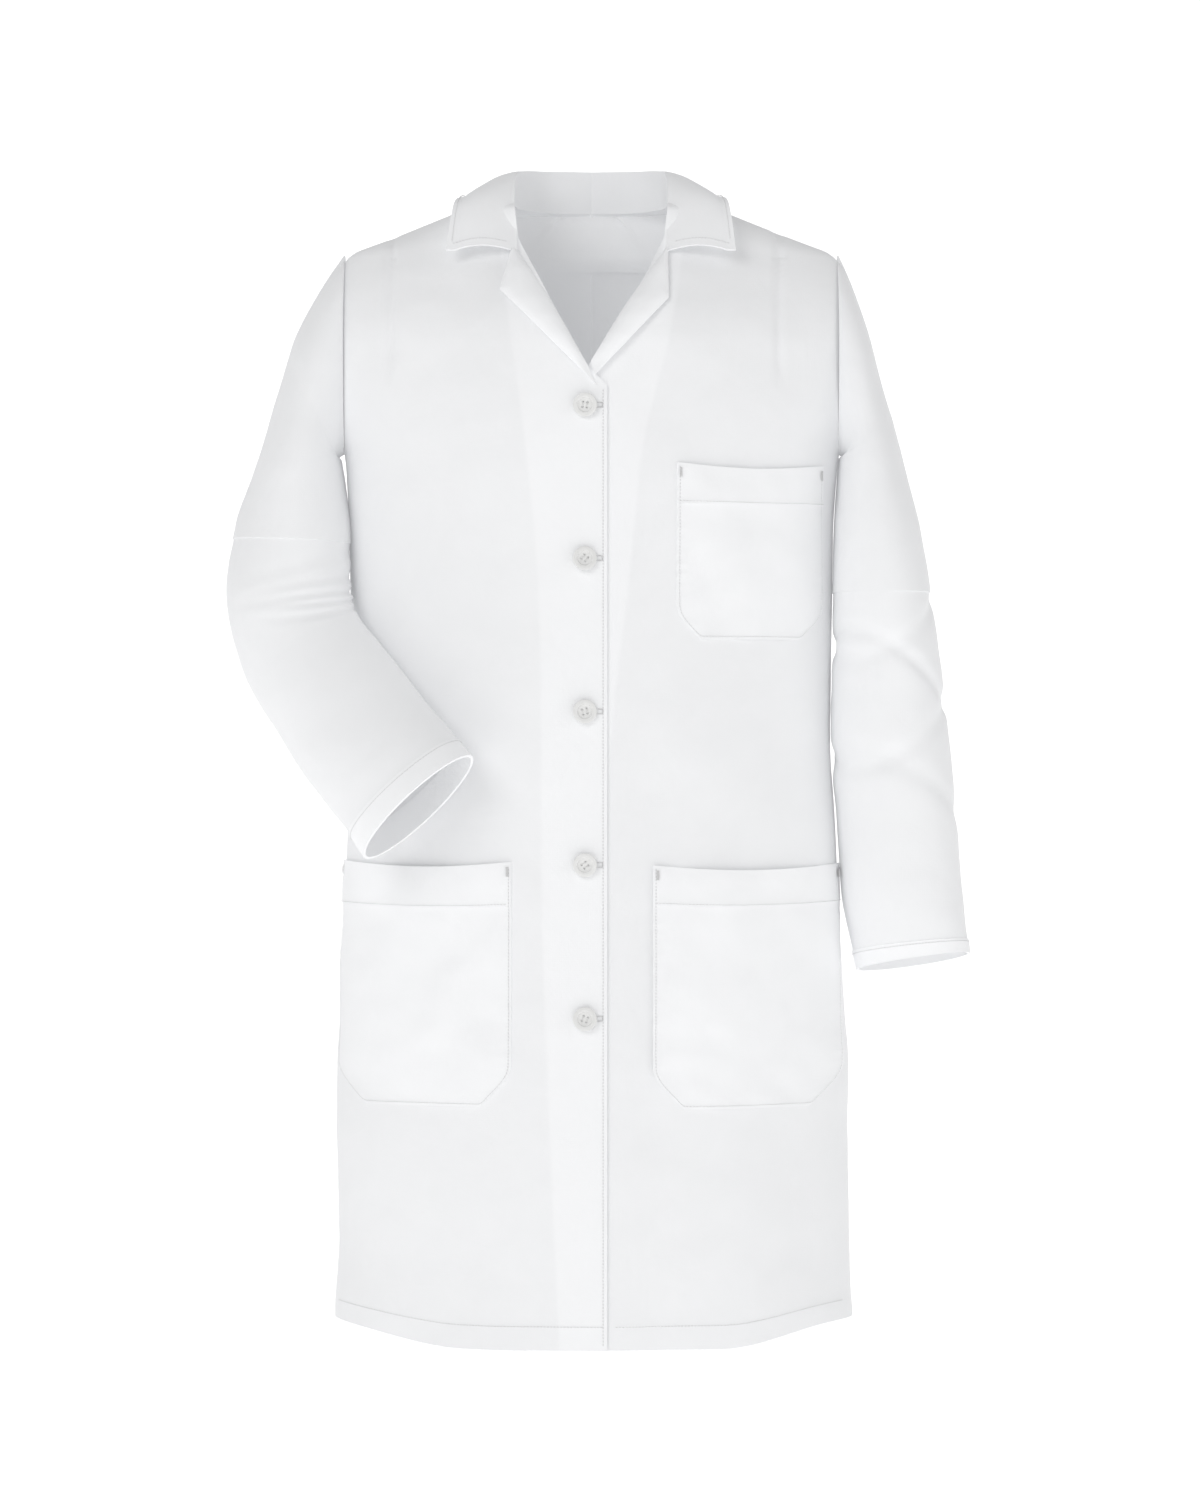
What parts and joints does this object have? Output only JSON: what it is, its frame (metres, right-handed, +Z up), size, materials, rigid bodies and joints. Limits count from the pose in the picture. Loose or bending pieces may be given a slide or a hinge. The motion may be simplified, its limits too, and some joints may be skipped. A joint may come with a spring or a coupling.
{
  "type": "lab coat",
  "caption": "Long white woven laboratory coat with notched collar, patch pockets, buttoned front, one sleeve bent forward and one hanging.",
  "frame": {"origin": "centre of the neck opening, at the height of the collar seam", "axes": "+Z up along the body, -Y out of the coat's front, -X towards the wearer's right sleeve"},
  "size_m": [0.6365, 0.3057, 1.005],
  "materials": {
    "coat_cloth": "white plain-woven poly-cotton, matt",
    "button_plastic": "white moulded, soft gloss",
    "sewing_thread": "white spun thread"
  },
  "bodies": {
    "coat": {"right_back_panel": "coat_cloth", "left_back_panel": "coat_cloth", "right_front_panel": "coat_cloth", "left_front_panel": "coat_cloth", "back_neck_facing": "coat_cloth", "collar_stand": "coat_cloth", "collar_fall": "coat_cloth", "right_collar_leaf": "coat_cloth", "left_collar_leaf": "coat_cloth", "chest_pocket": "coat_cloth", "chest_pocket_hem": "coat_cloth", "right_hip_pocket": "coat_cloth", "right_hip_pocket_hem": "coat_cloth", "left_hip_pocket": "coat_cloth", "left_hip_pocket_hem": "coat_cloth"},
    "right_front": {"right_front_edge": "coat_cloth", "right_facing": "coat_cloth", "right_lapel": "coat_cloth", "buttonholes": "coat_cloth"},
    "left_front": {"left_front_edge": "coat_cloth", "left_facing": "coat_cloth", "left_lapel": "coat_cloth"},
    "right_upper_arm": {"right_upper_sleeve": "coat_cloth"},
    "right_forearm": {"right_lower_sleeve": "coat_cloth", "right_cuff_hem": "coat_cloth"},
    "left_upper_arm": {"left_upper_sleeve": "coat_cloth"},
    "left_forearm": {"left_lower_sleeve": "coat_cloth", "left_cuff_hem": "coat_cloth"},
    "button_1": {"button_1": "button_plastic", "button_thread_1": "sewing_thread"},
    "button_2": {"button_2": "button_plastic", "button_thread_2": "sewing_thread"},
    "button_3": {"button_3": "button_plastic", "button_thread_3": "sewing_thread"},
    "button_4": {"button_4": "button_plastic", "button_thread_4": "sewing_thread"},
    "button_5": {"button_5": "button_plastic", "button_thread_5": "sewing_thread"}
  },
  "joints": [
    {"name": "right_front_opening", "type": "hinge", "parent": "coat", "child": "right_front", "pos_m": [-0.053, -0.1225, -0.965], "axis": [0.0281, -0.0176, -0.9995], "range_deg": [0, 90], "deforming": ["buttonholes"]},
    {"name": "left_front_opening", "type": "hinge", "parent": "coat", "child": "left_front", "pos_m": [0.037, -0.1245, -0.965], "axis": [0.0318, 0.0187, 0.9993], "range_deg": [0, 45]},
    {"name": "right_shoulder_lift", "type": "hinge", "parent": "coat", "child": "right_upper_arm", "pos_m": [-0.214, 0, -0.044], "axis": [0, 1, 0], "range_deg": [0, 35]},
    {"name": "left_shoulder_lift", "type": "hinge", "parent": "coat", "child": "left_upper_arm", "pos_m": [0.214, 0, -0.044], "axis": [0, -1, 0], "range_deg": [0, 35]},
    {"name": "right_elbow_straighten", "type": "hinge", "parent": "right_upper_arm", "child": "right_forearm", "pos_m": [-0.3116, -0.037, -0.3347], "axis": [0, 1, 0], "range_deg": [0, 38]},
    {"name": "left_elbow_bend", "type": "hinge", "parent": "left_upper_arm", "child": "left_forearm", "pos_m": [0.254, -0.0646, -0.3993], "axis": [-1, 0, 0], "range_deg": [0, 60]},
    {"name": "button_1_tilt", "type": "hinge", "parent": "left_front", "child": "button_1", "pos_m": [-0.005, -0.10899, -0.174], "axis": [1, 0, 0], "range_deg": [-8, 8], "stiffness_Nm_per_rad": 0.005},
    {"name": "button_2_tilt", "type": "hinge", "parent": "left_front", "child": "button_2", "pos_m": [-0.005, -0.11217, -0.3024], "axis": [1, 0, 0], "range_deg": [-8, 8], "stiffness_Nm_per_rad": 0.005},
    {"name": "button_3_tilt", "type": "hinge", "parent": "left_front", "child": "button_3", "pos_m": [-0.005, -0.11425, -0.4308], "axis": [1, 0, 0], "range_deg": [-8, 8], "stiffness_Nm_per_rad": 0.005},
    {"name": "button_4_tilt", "type": "hinge", "parent": "left_front", "child": "button_4", "pos_m": [-0.005, -0.11642, -0.5592], "axis": [1, 0, 0], "range_deg": [-8, 8], "stiffness_Nm_per_rad": 0.005},
    {"name": "button_5_tilt", "type": "hinge", "parent": "left_front", "child": "button_5", "pos_m": [-0.005, -0.1186, -0.6876], "axis": [1, 0, 0], "range_deg": [-8, 8], "stiffness_Nm_per_rad": 0.005}
  ],
  "couplings": [
    {"joint": "left_front_opening", "follows": "right_front_opening", "ratio": 0.5}
  ]
}
